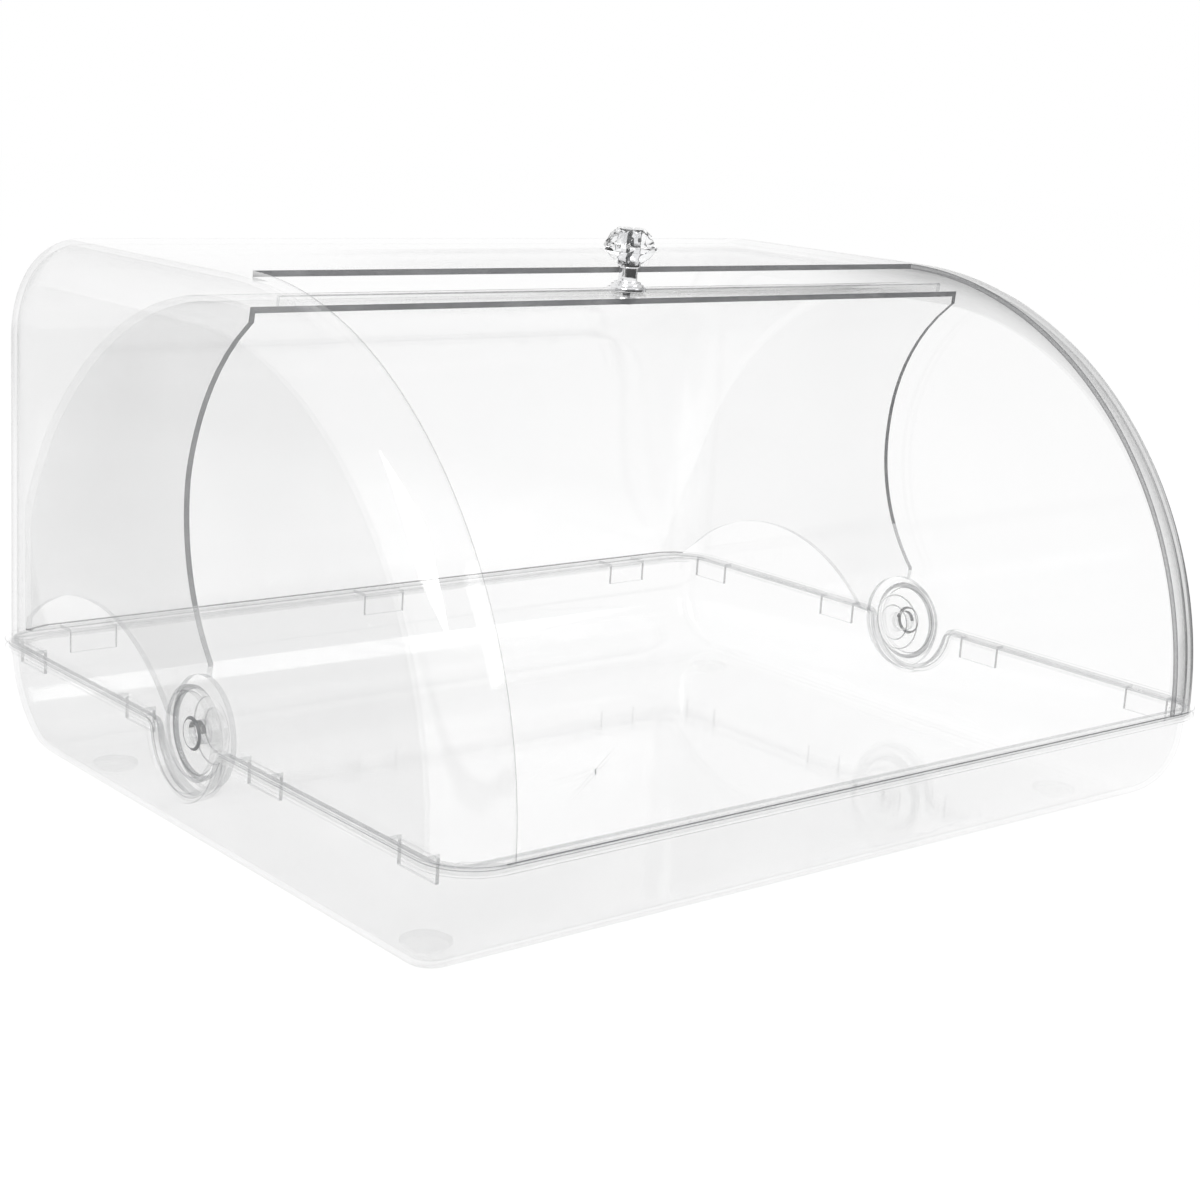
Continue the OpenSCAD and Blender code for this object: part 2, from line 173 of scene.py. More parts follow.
def clear_finish(name, veil, slant, grey=CLEAR_GREY, haze=9.0, power=15.0, fade=1.0):
    """Share of grey = veil, uneven by a third and heavier towards -x, which is painted shade that greys the
    left end, + slant * (1 - cosine) ^ power, where the cosine is that of the angle to the eye, and slant
    falls to slant * fade by y = FADE_Y.
    Share of mirror = MIRROR + SLANT_MIRROR * (1 - cosine) ^ 5, as a smooth clear surface has."""
    m = Finish(name)
    away = m.node("ShaderNodeLayerWeight", {"Blend": 0.5}, out=FACING)
    place = m.node("ShaderNodeTexCoord", {}, out=OBJECT_XYZ)
    cloud = m.node("ShaderNodeTexNoise", {"Vector": place, "Scale": haze, "Detail": 2.0})
    x, y = (m.node("ShaderNodeSeparateXYZ", {0: place}, out=axis) for axis in (0, 1))
    depth = m.node("ShaderNodeMapRange", {"Value": y, "From Max": FADE_Y, "To Min": slant,
                                          "To Max": slant * fade})
    # Painted shade: the factor (1.3 - x * 2.4) greys the walls more towards the left end and less towards
    # the right.
    share = (away ** power) * depth + (cloud * 0.7 + 0.65) * (1.3 - x * 2.4) * veil
    through = m.node("ShaderNodeBsdfTransparent", {"Color": WHITE})
    veiled = m.mix(share.math("MINIMUM", MOST_GREY), through, m.plain(grey, 0.4, 1.3))
    gloss = m.node("ShaderNodeBsdfGlossy", {"Color": WHITE, "Roughness": 0.06})
    return m.done(m.mix((away ** 5.0) * SLANT_MIRROR + MIRROR, veiled, gloss))


clear_hood = clear_finish("clear_hood_wall", 0.007, 0.9, power=60.0)
clear_lid = clear_finish("clear_lid_wall", 0.008, 0.9, power=60.0)
clear_side = clear_finish("clear_upright_wall", 0.040, 0.60)
# The two end rounds are one clear wall finished two ways: the right one carries painted shade, a wide grey
# at a slant that is strongest at the front.
round_left = clear_finish("clear_round_left", 0.007, 0.50, power=4.5)
round_right_painted_shade = clear_finish("clear_round_right", 0.007, 0.85, power=1.5, fade=0.25)
clear_tray = clear_finish("clear_tray_wall", 0.035, 0.70)
print("clear finishes ready")

# %% [markdown]
# ## Cut edges
# Light that enters a clear sheet runs along inside it and leaves at its
# edges, so an edge doesn't show what is behind it: it reads as a dark grey
# line. A little unevenness along the line keeps it from looking drawn.


# %% Finish of the cut edges
CUT_ROUGH, CUT_IOR, STREAKS = 0.25, 1.4, 70.0


def edge_finish(name, share, grey):
    """Share of grey = share, give or take a tenth by fine streaks."""
    m = Finish(name)
    place = m.node("ShaderNodeTexCoord", {}, out=OBJECT_XYZ)
    streak = m.node("ShaderNodeTexNoise", {"Vector": place, "Scale": STREAKS, "Detail": 3.0})
    through = m.node("ShaderNodeBsdfTransparent", {"Color": (0.97, 0.972, 0.975, 1)})
    return m.done(m.mix(streak * 0.2 + (share - 0.1), through, m.plain(grey, CUT_ROUGH, CUT_IOR)))


edge_dark = edge_finish("cut_edge_dark", 0.88, (0.105, 0.108, 0.112))
edge_soft = edge_finish("cut_edge_soft", 0.20, (0.16, 0.165, 0.17))
edge_face = edge_finish("cut_edge_face", 0.50, (0.13, 0.134, 0.138))


def arc_finish(name, core, line, inner):
    """For the hood's quarter rounds, whose walls are wide enough in view to show what they hold:
    across the wall t runs from 0 on its inside to 1 on its outside, and
    share of grey = core + line * (t ^ 7 + inner * (1 - t) ^ 7)."""
    m = Finish(name)
    place = m.node("ShaderNodeTexCoord", {}, out=OBJECT_XYZ)
    pivot = (0, PIVOT_Y / 1000, PIVOT_Z / 1000)
    offset = m.node("ShaderNodeVectorMath", {0: place, 1: pivot}, operation="SUBTRACT")
    flat = m.node("ShaderNodeVectorMath", {0: offset, 1: (0, 1, 1)}, operation="MULTIPLY")
    radius = m.node("ShaderNodeVectorMath", {0: flat}, out=NUMBER, operation="LENGTH")
    inside, outside = (HOOD_R - WALL) / 1000, HOOD_R / 1000
    t = m.node("ShaderNodeMapRange", {"Value": radius, "From Min": inside, "From Max": outside})
    share = core + line * (t ** 7.0 + inner * (1.0 - t) ** 7.0)
    through = m.node("ShaderNodeBsdfTransparent", {"Color": WHITE})
    return m.done(m.mix(share, through, m.plain((0.12, 0.123, 0.127), CUT_ROUGH, CUT_IOR)))


# Partly real, partly painted: both are dark cut edges, but the left is painted pale and the right painted
# darker, standing in for how refraction shows the two sides from the front left.
arc_left_painted_pale = arc_finish("opening_edge_left_painted_pale", 0.03, 0.75, 0.0)
arc_right_painted_dark = arc_finish("opening_edge_right_painted_dark", 0.52, 0.50, 1.0)
print("edge finishes ready")

# %% [markdown]
# ## From grids of points to one skin
# Every new shape below is a function of two parameters on a grid. `Skin`
# gathers such grids, welds them where their borders meet, turns the faces
# outwards, and can give the sheet its wall with a Solidify modifier, which
# marks the new rim faces so that they can take the cut-edge finish.


# %% Normals that keep flat walls flat
SMOOTH_WITHIN = 28.0


def smooth_normals(mesh):
    """Corner normal = sum of area x face normal over the vertex's faces within SMOOTH_WITHIN
    degrees of the corner's own."""
    count, loops = len(mesh.polygons), len(mesh.loops)
    normal, area = np.empty(count * 3), np.empty(count)
    vert, size = np.empty(loops, np.int32), np.empty(count, np.int32)
    mesh.polygons.foreach_get("normal", normal)
    mesh.polygons.foreach_get("area", area)
    mesh.polygons.foreach_get("loop_total", size)
    mesh.loops.foreach_get("vertex_index", vert)
    normal, face = normal.reshape(-1, 3), np.repeat(np.arange(count), size)
    order = np.argsort(vert, kind="stable")
    out = np.empty((loops, 3))
    for group in np.split(order, np.flatnonzero(np.diff(vert[order])) + 1):
        n = normal[face[group]]
        near = (n @ n.T) > math.cos(math.radians(SMOOTH_WITHIN))
        total = (near * area[face[group]]) @ n
        out[group] = total / np.maximum(np.linalg.norm(total, axis=1, keepdims=True), 1e-12)
    mesh.polygons.foreach_set("use_smooth", np.ones(count, bool))
    mesh.normals_split_custom_set(out.tolist())


print("faces share a normal within", SMOOTH_WITHIN, "degrees")

# %% Skins
WELD, SLIVER = 4e-6, 1e-6  # metres, as a mesh is


class Skin:
    """Grids of points (rows, columns, xyz) in millimetres, gathered into one mesh."""

    def __init__(self):
        self.points, self.quads, self.kinds, self.count = [], [], [], 0

    def add(self, grid, kind=CLEAR, twin=False):
        """kind is one number or one for each column step; twin adds the mirror image across x = 0."""
        rows, cols = grid.shape[:2]
        i = np.arange(rows * cols).reshape(rows, cols) + self.count
        quads = np.stack([i[:-1, :-1], i[1:, :-1], i[1:, 1:], i[:-1, 1:]], -1)
        self.points.append(grid.reshape(-1, 3))
        self.quads.append(quads.reshape(-1, 4))
        self.kinds.append(np.broadcast_to(kind, quads.shape[:2]).reshape(-1))
        self.count += rows * cols
        if twin:
            self.add(grid * [-1, 1, 1], kind)
        return self

    def mesh(self, name, inside=None):
        """Welded mesh in metres; for an open sheet, faces turn away from the point inside."""
        mesh = bpy.data.meshes.new(name)
        points, quads, kinds = (np.concatenate(v) for v in (self.points, self.quads, self.kinds))
        mesh.from_pydata((points * 0.001).tolist(), [], quads.tolist())
        mesh.polygons.foreach_set("material_index", kinds.astype(np.int32))
        bm = bmesh.new()
        bm.from_mesh(mesh)
        bmesh.ops.remove_doubles(bm, verts=bm.verts, dist=WELD)
        bmesh.ops.dissolve_degenerate(bm, edges=bm.edges, dist=SLIVER)
        bmesh.ops.recalc_face_normals(bm, faces=bm.faces)
        if inside is not None:
            outward = sum(f.calc_area() * f.normal.dot(f.calc_center_median() - Vector(inside))
                          for f in bm.faces)
            if outward < 0:
                bmesh.ops.reverse_faces(bm, faces=bm.faces)
        bm.to_mesh(mesh)
        bm.free()
        return mesh


print("points closer than", WELD * 1e6, "micrometres are welded")


# %% Pieces in the scene
def seat_piece(name, mesh, body, nodes, materials):
    """Puts a mesh in the scene as a piece that rides on body and stands for the CAD nodes."""
    kinds = np.empty(len(mesh.polygons), np.int32)
    mesh.polygons.foreach_get("material_index", kinds)
    mesh.materials.clear()
    for m in materials:
        mesh.materials.append(m)
    mesh.polygons.foreach_set("material_index", np.minimum(kinds, len(materials) - 1))
    smooth_normals(mesh)
    piece = bpy.data.objects.new(name, mesh)
    scene.collection.objects.link(piece)
    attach(piece, body)
    if nodes:
        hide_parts(*nodes)
    print(name, len(mesh.polygons), "faces")


print("a seated piece rides on a body, in a slot, in place of its nodes")


# %% Walls and kinds of face
def walled(mesh):
    """Gives an outward-facing sheet its wall inwards; the new rim faces get kind EDGE. Solidify
    keeps a kind only where the mesh has a slot for it, so every kind gets one first."""
    sheet = bpy.data.objects.new("sheet", mesh)
    scene.collection.objects.link(sheet)
    for _ in range(ARC_RIGHT + 1):
        mesh.materials.append(clear_hood)
    solid = sheet.modifiers.new("wall", "SOLIDIFY")
    solid.thickness, solid.offset, solid.use_even_offset = WALL * 0.001, -1.0, True
    solid.use_rim, solid.material_offset_rim = True, EDGE
    solid.use_quality_normals = True
    bpy.context.view_layer.update()
    done = bpy.data.meshes.new_from_object(sheet.evaluated_get(bpy.context.evaluated_depsgraph_get()))
    bpy.data.objects.remove(sheet)
    return done


def rekind(mesh, rule):
    """Sorts the faces again: rule(centres in millimetres, kinds) gives the new kinds.
    Solidify adds EDGE to a rim's own kind, so the rims of upright walls are put right first."""
    count = len(mesh.polygons)
    centre, kind = np.empty(count * 3), np.empty(count, np.int32)
    mesh.polygons.foreach_get("center", centre)
    mesh.polygons.foreach_get("material_index", kind)
    kind[kind == UPRIGHT + EDGE] = EDGE
    mesh.polygons.foreach_set("material_index", rule(centre.reshape(-1, 3) * 1000, kind).astype(np.int32))
    return mesh


print("walls are", WALL, "mm thick")

# %% [markdown]
# ## Curves that several pieces share
# The rim of the tray and of the hood is one rounded rectangle that dips in a
# U under each pivot. Both mouldings follow it at their own distance, so the
# path is made once as points with two directions: outwards and up.


# %% The U under each pivot
def dip_curve(r, top, s):
    """Edge of a U in (y, z): shoulder round of radius s, round r about the pivot, shoulder again.
    Returns y, z and the unit direction that points up out of the edge."""
    drop = PIVOT_Z - (top - s)
    b = math.sqrt((r + s) ** 2 - drop ** 2)
    lean = math.atan2(drop, b)
    shoulder = np.linspace(math.pi / 2, math.pi - lean, 9)
    bowl = np.linspace(-lean, -math.pi / 2, 20)[1:]
    y = np.concatenate([b + s * np.cos(shoulder), r * np.cos(bowl)])
    z = np.concatenate([top - s + s * np.sin(shoulder), PIVOT_Z + r * np.sin(bowl)])
    uy = np.concatenate([np.cos(shoulder), -np.cos(bowl)])
    uz = np.concatenate([np.sin(shoulder), -np.sin(bowl)])
    y, uy = (np.concatenate([-v, v[-2::-1]]) for v in (y, uy))
    z, uz = (np.concatenate([v, v[-2::-1]]) for v in (z, uz))
    return y + PIVOT_Y, z, uy, uz


print("points along one U:", len(dip_curve(HOOD_DIP, RIM_Z, HOOD_SHOULDER)[0]))


# %% The rim path, and a profile carried along it
def rim_path(w, d, r, dip_r, top, s):
    """Closed rounded rectangle w by d at height top, dipping at both ends: points, out, up."""
    y, z, uy, uz = dip_curve(dip_r, top, s)
    point, out, up = [], [], []
    flat = np.array([0.0, 0.0, 1.0])
    for turn in range(4):
        a = np.radians(np.linspace(-90, 0, 13) + 90 * turn)
        side = np.array([[1, -1], [1, 1], [-1, 1], [-1, -1]][turn])
        centre = side * [w / 2 - r, d / 2 - r]
        n = np.stack([np.cos(a), np.sin(a), 0 * a], -1)
        point.append(np.append(centre, top) + r * n)
        out.append(n)
        up.append(np.tile(flat, (13, 1)))
        if turn in (0, 2):
            sign, order = (1, slice(None)) if turn == 0 else (-1, slice(None, None, -1))
            point.append(np.stack([0 * y + sign * w / 2, y[order], z[order]], -1))
            out.append(np.tile([sign, 0.0, 0.0], (len(y), 1)))
            up.append(np.stack([0 * y, uy[order], uz[order]], -1))
    point, out, up = (np.concatenate(v) for v in (point, out, up))
    return tuple(np.concatenate([v, v[:1]]) for v in (point, out, up))


def carry(path, profile):
    """Grid: path point + profile's first number x out + its second x up; the profile closes itself.
    A profile may be one list of pairs, or one list for each path point."""
    point, out, up = path
    profile = np.broadcast_to(profile, (len(point), *np.shape(profile)[-2:]))
    profile = np.concatenate([profile, profile[:, :1]], 1)
    return point[:, None] + profile[..., :1] * out[:, None] + profile[..., 1:] * up[:, None]


print("rim path points:", len(rim_path(BODY_W, BODY_D, BODY_R, HOOD_DIP, RIM_Z, HOOD_SHOULDER)[0]))

# %% [markdown]
# ## The hood
# On the real bin the hood is one vacuum-formed or moulded shell: a quarter
# round at the front, a flat top, a rounded back, and flat ends that meet it
# in a soft fillet. Its path in (y, z) is carried from end to end, pulled in
# by the fillet's round near each end; the flat ends are spun out from the
# round recess at the pivot to whatever border surrounds it.


# %% The hood's path from front to back
def hood_path():
    """Front quarter round, flat top, back round and back wall: y, z and the outward direction."""
    a = np.radians(np.linspace(0, 90, 61))
    front = np.stack([PIVOT_Y - HOOD_R * np.cos(a), PIVOT_Z + HOOD_R * np.sin(a), -np.cos(a), np.sin(a)], -1)
    foot = front[0] - [0, 0.5, 0, 0]
    b = np.radians(np.linspace(90, 0, 19))
    cy, cz = HOOD_BACK - BACK_R, PIVOT_Z + HOOD_R - BACK_R
    back = np.stack([cy + BACK_R * np.cos(b), cz + BACK_R * np.sin(b), np.cos(b), np.sin(b)], -1)
    flat = np.linspace(front[-1], [cy, PIVOT_Z + HOOD_R, 0, 1], 7)[1:-1]
    down = np.linspace(back[-1], [HOOD_BACK, RIM_Z - RIM_T, 1, 0], 6)[1:]
    return np.concatenate([[foot], front, flat, back, down])


def across():
    """Stations from the opening's side to the end: x, and how far the fillet pulls the shell in."""
    a = np.radians(np.linspace(0, 90, 13))
    bend = HOOD_X - EDGE_R
    x = np.concatenate([np.linspace(OPEN_X, bend, 4)[:-1], bend + EDGE_R * np.sin(a)])
    pull = np.concatenate([[0.0] * 3, EDGE_R * (1 - np.cos(a))])
    return x, pull


path = hood_path()
FLAT_TOP = 61  # the row at which the quarter round ends and the flat top begins


def hood_grid(rows, x, pull):
    """Point = path point - pull x outward direction, at each station x."""
    y = rows[:, None, 0] - pull * rows[:, None, 2]
    z = rows[:, None, 1] - pull * rows[:, None, 3]
    return np.stack([np.broadcast_to(x, y.shape), y, z], -1)


hood_skin = Skin()
hood_skin.add(hood_grid(path, *across()), twin=True)
hood_skin.add(hood_grid(path[FLAT_TOP:], np.linspace(-OPEN_X, OPEN_X, 9), np.zeros(9)))
print("hood path", len(path), "points")


# %% The hood's ends and their round recesses
def end_border():
    """Border of the flat end: the fillet's inner edge, then the foot with its U, in order."""
    upper = path[:, :2] - EDGE_R * path[:, 2:]
    y, z, _, _ = dip_curve(HOOD_DIP, RIM_Z - RIM_T, RIM_T * 3)
    foot = np.stack([y, z], -1)[::-1]
    back = np.linspace(upper[-1], foot[0], 6)[1:-1]
    front = np.linspace(foot[-1], upper[0], 6)[1:]
    return np.concatenate([upper, back, foot, front])


def spun(border, radii, xs):
    """Rings about the pivot at the border's own directions; radius None stands for the border."""
    centre = np.array([PIVOT_Y, PIVOT_Z])
    ray = border - centre
    ray = ray / np.linalg.norm(ray, axis=1, keepdims=True)
    rings = [border if r is None else centre + r * ray for r in radii]
    return np.stack([np.stack([0 * ring[:, 0] + x, ring[:, 0], ring[:, 1]], -1)
                     for ring, x in zip(rings, xs)], 1)


border = end_border()
RECESS_X, RECESS_R, PIN_HOLE, EASE = 250.5, 21.0, 6.0, 0.4
outer = spun(border, [None, 21.6, RECESS_R], [HOOD_X, HOOD_X, HOOD_X - EASE])
hood_skin.add(outer, [UPRIGHT, SOFT], twin=True)
inner = spun(border, [RECESS_R, 20.8, 20.2, PIN_HOLE], [HOOD_X - EASE, RECESS_X + EASE, RECESS_X, RECESS_X])
hood_skin.add(inner, [UPRIGHT, FACE_EDGE, UPRIGHT], twin=True)
print("end border of", len(border), "points")

# %% The hood's wall and finishes
ROUND_X = 236.0


def hood_rule(c, kind):
    """The rims at the opening's sides and the rounds at both ends have finishes of their own;
    the rims at the foot are soft."""
    side = (kind == EDGE) & (abs(abs(c[:, 0]) - OPEN_X) < 0.5)
    foot = (kind == EDGE) & (c[:, 2] < RIM_Z - 0.5) & ~side
    ends = (kind == CLEAR) & (abs(c[:, 0]) > ROUND_X)
    kind = np.where(ends, np.where(c[:, 0] < 0, ROUND_LEFT, ROUND_RIGHT), kind)
    return np.where(side, np.where(c[:, 0] < 0, ARC_LEFT, ARC_RIGHT), np.where(foot, SOFT, kind))


hood_finish = [clear_hood, edge_dark, edge_soft, edge_face, clear_side,
               round_left, round_right_painted_shade, arc_left_painted_pale, arc_right_painted_dark]
hood_mesh = rekind(walled(hood_skin.mesh("hood_sheet", inside=(0, 0.0, 0.1))), hood_rule)
seat_piece("hood_moulding", hood_mesh, "hood_body", ["hood"], hood_finish)

# %% [markdown]
# ## The hood's rim, lip and tabs
# A lip hangs outside the tray's flange and stops the hood sliding off, and
# short tabs hang inside. Lip and rim are one L-shaped profile carried round
# the rim path; its small chamfers are what shows as fine dark lines.


# %% Rim and lip
CHAMFER = 0.45


def rim_profile(depth):
    """L section: outward, upward pairs from the lip's foot round to its inside."""
    c = CHAMFER
    return [(-LIP_T, -LIP_H), (-c, -LIP_H), (0, -LIP_H + c), (0, -c), (-c, 0),
            (-depth, 0), (-depth, -RIM_T), (-LIP_T, -RIM_T)]


rim = rim_path(BODY_W, BODY_D, BODY_R, HOOD_DIP - RIM_T, RIM_Z, HOOD_SHOULDER)
front_run = (rim[0][:, 1] < 0) & (abs(rim[0][:, 0]) < BODY_W / 2 - BODY_R + 1)
sections = np.array([rim_profile(2.2 if f else 4.7) for f in front_run])
rim_kinds = np.where(front_run[:-1, None], [CLEAR, FACE_EDGE, CLEAR, EDGE, CLEAR, SOFT, CLEAR, CLEAR],
                     [CLEAR, SOFT, CLEAR, SOFT, CLEAR, SOFT, CLEAR, CLEAR])
rim_skin = Skin().add(carry(rim, sections), rim_kinds)
print("rim carried through", len(rim[0]), "stations")

# %% [markdown]
# Eleven tabs hang inside the rim, four at each end and three at the back, and
# keep the hood in its place on the tray. A short step joins each to the rim.


# %% Tabs
def plate(skin, lo, hi, kinds, twin=False):
    """A flat plate from corner lo to corner hi; kinds are for its x, y and z faces."""
    corner = np.array([lo, hi], float)
    for axis in range(3):
        for end in (0, 1):
            grid = np.stack(np.meshgrid([0, 1], [0, 1], indexing="ij"), -1)
            index = np.insert(grid, axis, end, axis=-1)
            skin.add(np.stack([corner[index[..., i], i] for i in range(3)], -1), kinds[axis], twin)


TAB_L, TAB_H, TAB_T, TAB_X, TAB_Y = 28.0, 13.5, 1.8, 249.2, 203.4
END_TABS = [0.419 * BODY_D, 0.144 * BODY_D, -0.130 * BODY_D, -0.412 * BODY_D]
BACK_TABS = [-0.392 * BODY_W, -0.014 * BODY_W, 0.365 * BODY_W]
for y in END_TABS:
    plate(rim_skin, (TAB_X - TAB_T, y - TAB_L / 2, RIM_Z - TAB_H), (TAB_X, y + TAB_L / 2, RIM_Z - RIM_T),
          (CLEAR, FACE_EDGE, SOFT), twin=True)
    plate(rim_skin, (TAB_X - TAB_T, y - TAB_L / 2, RIM_Z - RIM_T), (HOOD_X - 1, y + TAB_L / 2, RIM_Z),
          (CLEAR, SOFT, CLEAR), twin=True)
for x in BACK_TABS:
    plate(rim_skin, (x - TAB_L / 2, TAB_Y - TAB_T, RIM_Z - TAB_H), (x + TAB_L / 2, TAB_Y, RIM_Z - RIM_T),
          (FACE_EDGE, CLEAR, SOFT))
    plate(rim_skin, (x - TAB_L / 2, TAB_Y - TAB_T, RIM_Z - RIM_T), (x + TAB_L / 2, HOOD_BACK - 1, RIM_Z),
          (SOFT, CLEAR, CLEAR))
seat_piece("hood_rim", rim_skin.mesh("hood_rim"), "hood_body", [], hood_finish)

# %% [markdown]
# ## The lid
# The lid is a band of a cylinder that ends, on each side, in an ear that
# narrows to a hub. In polar coordinates about the pivot the ear is simple: at
# each radius it spans an angle to both sides of its middle, and that angle
# follows from the round that bites into it. The ears lean in towards the
# front edge, so x is looked up from the height.

# %% The lid's outline about the pivot
EAR_MID, BITE_R, SPREAD = (LID_BACK + LID_FRONT) / 2, 112.0, 80.3
EAR_X = np.array([[-LID_R, 247.0], [0, 247.0], [0.58 * LID_R, 244.8], [LID_R, 239.5]])
CORNER_R, CORNER_X = 21, 226


def lean_x(y, z):
    """Half width of the lid at (y, z) from the pivot: leaning in with z, rounded at the back."""
    into = np.clip(y - (LID_R - CORNER_R), 0, CORNER_R)
    return np.minimum(np.interp(z, *EAR_X.T), CORNER_X + np.sqrt(CORNER_R ** 2 - into ** 2))


def half_span(r):
    """Cosine rule: the bite's centre stands BITE_R + HUB_R from the pivot, SPREAD off the middle."""
    reach = BITE_R + HUB_R
    turn = np.degrees(np.arccos(np.clip((r ** 2 + reach ** 2 - BITE_R ** 2) / (2 * reach * r), -1, 1)))
    return np.minimum(SPREAD - turn, (LID_BACK - LID_FRONT) / 2)


def polar(r, degrees):
    """Point of an ear at radius r and an angle behind upright."""
    y, z = r * np.sin(np.radians(degrees)), r * np.cos(np.radians(degrees))
    return np.stack([lean_x(y, z), y + PIVOT_Y, z + PIVOT_Z], -1)


print("half span of an ear at its hub and rim:", half_span(np.array([HUB_R, LID_R])).round(1))

# %% [markdown]
# Band, ears and hubs make one sheet. The ear's cut sides are borders of its
# grid, so Solidify turns them into rim faces, and those get the dark finish
# where the photograph shows a dark line and a fainter one where it doesn't.

# %% Band, ears and hubs
steps = np.linspace(-1, 1, 65)
radii = np.concatenate([np.geomspace(HUB_R, 200.0, 44), [201.35, 205.0, LID_R]])
ear = polar(radii[:, None], EAR_MID + half_span(radii)[:, None] * steps)
rest_of_hub = np.linspace(SPREAD, 360 - SPREAD, 41)
round_hub = np.concatenate([steps * SPREAD, rest_of_hub[1:]]) + EAR_MID
hub = polar(np.array([HUB_HOLE, 17.0, HUB_R])[:, None], round_hub)
end_x, end_y, end_z = (ear[-1][:, i:i + 1] for i in range(3))
part = np.linspace(-1, 1, 15)
band = np.stack([end_x * part, end_y + 0 * part, end_z + 0 * part], -1)
lid_skin = Skin().add(band).add(ear, UPRIGHT, twin=True).add(hub, twin=True)
print("band", band.shape[:2], "ear", ear.shape[:2], "hub", hub.shape[:2])

# %% The lid's wall and finishes
EAR_TOP, DARK_DOWN_TO, HUB_RIM = 196, 60, 34


def lid_rule(c, kind):
    """By radius from the pivot: the front edge is a full dark line that fades down the ears; the
    ears' back sides, the hubs and their holes are soft."""
    y, z = c[:, 1] - PIVOT_Y, c[:, 2] - PIVOT_Z
    r = np.hypot(y, z)
    ear_side = (kind == EDGE) & (r < EAR_TOP)
    faint = (r < HUB_RIM) | (np.arctan2(y, z) > math.radians(EAR_MID))
    sides = np.where(faint, SOFT, np.where(r < DARK_DOWN_TO, FACE_EDGE, EDGE))
    return np.where(ear_side, sides, kind)


lid_finish = [clear_lid, edge_dark, edge_soft, edge_face, clear_side]
lid_mesh = rekind(walled(lid_skin.mesh("lid_sheet", inside=(0, 0.05, 0.1))), lid_rule)
seat_piece("lid_moulding", lid_mesh, "lid_body", ["lid"], lid_finish)

# %% [markdown]
# A low lip stiffens the lid's front edge, and a ring inside each hub gives
# the pin more to bear on. Both are solid profiles, carried or turned.


# %% The lip along the lid's front edge, and the rings that thicken its hubs
def lathe(profile, centre, axis, kinds, turns=64):
    """Ring grid: profile pairs are radius and distance along the axis from the centre."""
    a = np.linspace(0, 2 * np.pi, turns + 1)[:, None]
    axis = np.array(axis, float) / np.linalg.norm(axis)
    side = np.cross(axis, [0.0, 0.3, 1.0])
    side /= np.linalg.norm(side)
    r, h = np.array(profile, float).T
    ring = np.cos(a)[..., None] * side + np.sin(a)[..., None] * np.cross(axis, side)
    return np.array(centre) + r[None, :, None] * ring + h[None, :, None] * axis, kinds


lean = math.radians(LID_FRONT)
out_way = np.array([0, math.sin(lean), math.cos(lean)])
back_way = np.array([0, math.cos(lean), -math.sin(lean)])
LIP_X, LIP_UP, LIP_THICK = 224.5, 4.8, 2.6
lip_ends = np.array([[x, PIVOT_Y, PIVOT_Z] for x in (-LIP_X, LIP_X)]) + LID_R * out_way
lip_section = [(-0.3, 0.02), (LIP_UP - CHAMFER, 0.02), (LIP_UP, CHAMFER), (LIP_UP, LIP_THICK - CHAMFER),
               (LIP_UP - CHAMFER, LIP_THICK), (-0.3, LIP_THICK)]
lip = carry((lip_ends, np.tile(out_way, (2, 1)), np.tile(back_way, (2, 1))), lip_section)
trim = Skin().add(lip, [CLEAR, FACE_EDGE, SOFT, CLEAR, CLEAR, CLEAR])
for cap in (lip[0, :-1], lip[1, :-1]):
    trim.add(np.stack([cap[[0, 1, 2]], cap[[5, 4, 3]]]), SOFT)
hub_ring = [(HUB_HOLE, -0.1), (HUB_HOLE, -3), (16.4, -3), (17.0, -2.4), (17.0, -0.1)]
HUB_INSIDE_X = 244.0
trim.add(*lathe(hub_ring, (HUB_INSIDE_X, PIVOT_Y, PIVOT_Z), (1, 0, 0), [CLEAR, CLEAR, FACE_EDGE, CLEAR]),
         twin=True)
seat_piece("lid_trim", trim.mesh("lid_trim"), "lid_body", [], lid_finish)

# %% [markdown]
# ## The tray
# The tray is pressed from one sheet too: its front and back sweep up from the
# floor in a wide scoop, its ends in a tight round with a little draft. Level
# by level it is a rounded rectangle, so the skin is a stack of such rings.


# %% Shape of the tray's walls
END_IN, LONG_IN, DRAFT, END_ROUND, SCOOP = 4.5, 9.8, 7.5, 9.0, 43.0
DIP_START, SHEET_TOP = 12.0, TRAY_H - 2.4


def round_in(z, r):
    """How far a quarter round of radius r stands in from the wall at height z."""
    return r - np.sqrt(np.maximum(r * r - (r - np.minimum(z, r)) ** 2, 0))


def half_width(z):
    """Half width at height z over the foot: the drafted end wall, less its bottom round."""
    return BODY_W / 2 - END_IN - (TRAY_H - z) * math.tan(math.radians(DRAFT)) - round_in(z, END_ROUND)


def tray_ring(z, shrink=1.0):
    """Half width, half depth and corner radius of the tray's outer face at height z over its foot."""
    half_y = BODY_D / 2 - LONG_IN - round_in(z, SCOOP)
    return half_width(z) * shrink, half_y * shrink, (10 + 2 * z / TRAY_H) * max(shrink, 0.05)


print("tray's width at the foot and the rim:", [round(2 * half_width(z), 1) for z in (0, TRAY_H)])


